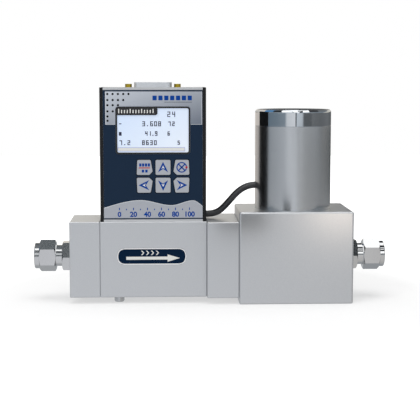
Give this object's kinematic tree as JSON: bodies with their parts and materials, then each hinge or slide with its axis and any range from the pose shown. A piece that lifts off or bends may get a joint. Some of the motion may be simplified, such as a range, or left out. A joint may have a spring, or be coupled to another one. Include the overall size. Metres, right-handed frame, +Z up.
{
  "type": "gas mass flow meter",
  "caption": "Block-built gas mass flow meter with a display and keypad housing, a canned solenoid control valve, a short lead and a tube fitting at each end.",
  "frame": {"origin": "on the floor under the middle of the whole object, between the two fittings' ends and halfway through the valve block's depth", "axes": "+X runs with the flow from inlet to outlet, -Y faces the display side, +Z is up"},
  "size_m": [0.2414, 0.057, 0.1488],
  "materials": {
    "satin_aluminium": "satin, fine machined",
    "cover_aluminium": "satin, brushed",
    "can_steel": "turned, polished",
    "cap_steel": "mirror polished",
    "fitting_steel": "turned stainless steel",
    "screw_steel": "plain",
    "magnetic_steel": "turned",
    "sintered_steel": "porous",
    "housing_paint": "black, satin",
    "overlay_film": "printed film, satin",
    "display_plastic": "black",
    "display_glass": "pale blue screen",
    "label_film": "printed film, dark blue",
    "moulded_black": "moulded",
    "board_green": "circuit board",
    "bobbin_plastic": "moulded",
    "copper_wire": "enamelled copper wire",
    "post_brass": "olive passivated",
    "connector_steel": "tin plated",
    "seal_rubber": "elastomer",
    "lead_jacket": "black jacket"
  },
  "bodies": {
    "meter": {"inlet_block": "satin_aluminium", "sensor_block": "satin_aluminium", "adapter_block": "satin_aluminium", "valve_block": "satin_aluminium", "inlet_block_screws": "screw_steel", "adapter_block_screws": "screw_steel", "valve_block_bolts": "screw_steel", "inlet_o_ring": "seal_rubber", "adapter_o_ring": "seal_rubber", "valve_o_ring": "seal_rubber", "flange_o_ring": "seal_rubber", "inlet_filter": "sintered_steel", "laminar_flow_element": "fitting_steel", "support_feet": "fitting_steel", "flow_label": "label_film", "inlet_fitting_body": "fitting_steel", "inlet_front_ferrule": "fitting_steel", "inlet_back_ferrule": "fitting_steel", "inlet_fitting_nut": "fitting_steel", "outlet_fitting_body": "fitting_steel", "outlet_front_ferrule": "fitting_steel", "outlet_back_ferrule": "fitting_steel", "outlet_fitting_nut": "fitting_steel", "valve_seat": "fitting_steel", "plunger_spring": "screw_steel", "guide_tube": "fitting_steel", "pole_core": "magnetic_steel", "can_base_ring": "magnetic_steel", "base_ring_screws": "screw_steel", "coil_bobbin": "bobbin_plastic", "coil_winding": "copper_wire", "coil_top_plate": "magnetic_steel", "coil_nut": "screw_steel", "valve_can": "can_steel", "can_cap": "cap_steel", "housing_shell": "housing_paint", "base_plate": "cover_aluminium", "base_plate_screws": "screw_steel", "front_panel": "cover_aluminium", "front_overlay": "overlay_film", "display_frame": "display_plastic", "display_module": "display_glass", "keypad_board": "board_green", "main_board": "board_green", "board_standoffs": "screw_steel", "top_cover": "cover_aluminium", "cover_screws": "screw_steel", "dsub_shell": "connector_steel", "dsub_insert": "moulded_black", "dsub_jackposts": "post_brass", "sensor_base": "fitting_steel", "sensor_cover": "cover_aluminium", "sensor_tube": "fitting_steel", "sensor_windings": "copper_wire", "housing_cable_bush": "moulded_black", "can_cable_bush": "moulded_black", "valve_cable": "lead_jacket"},
    "plunger": {"valve_plunger": "magnetic_steel", "seat_seal": "seal_rubber"}
  },
  "joints": [
    {"name": "plunger_lift", "type": "slide", "parent": "meter", "child": "plunger", "axis": [0, 0, 1], "range_m": [0, 0.001], "stiffness_N_per_m": 2000, "springref_m": -0.001, "deforming": ["plunger_spring"]}
  ]
}
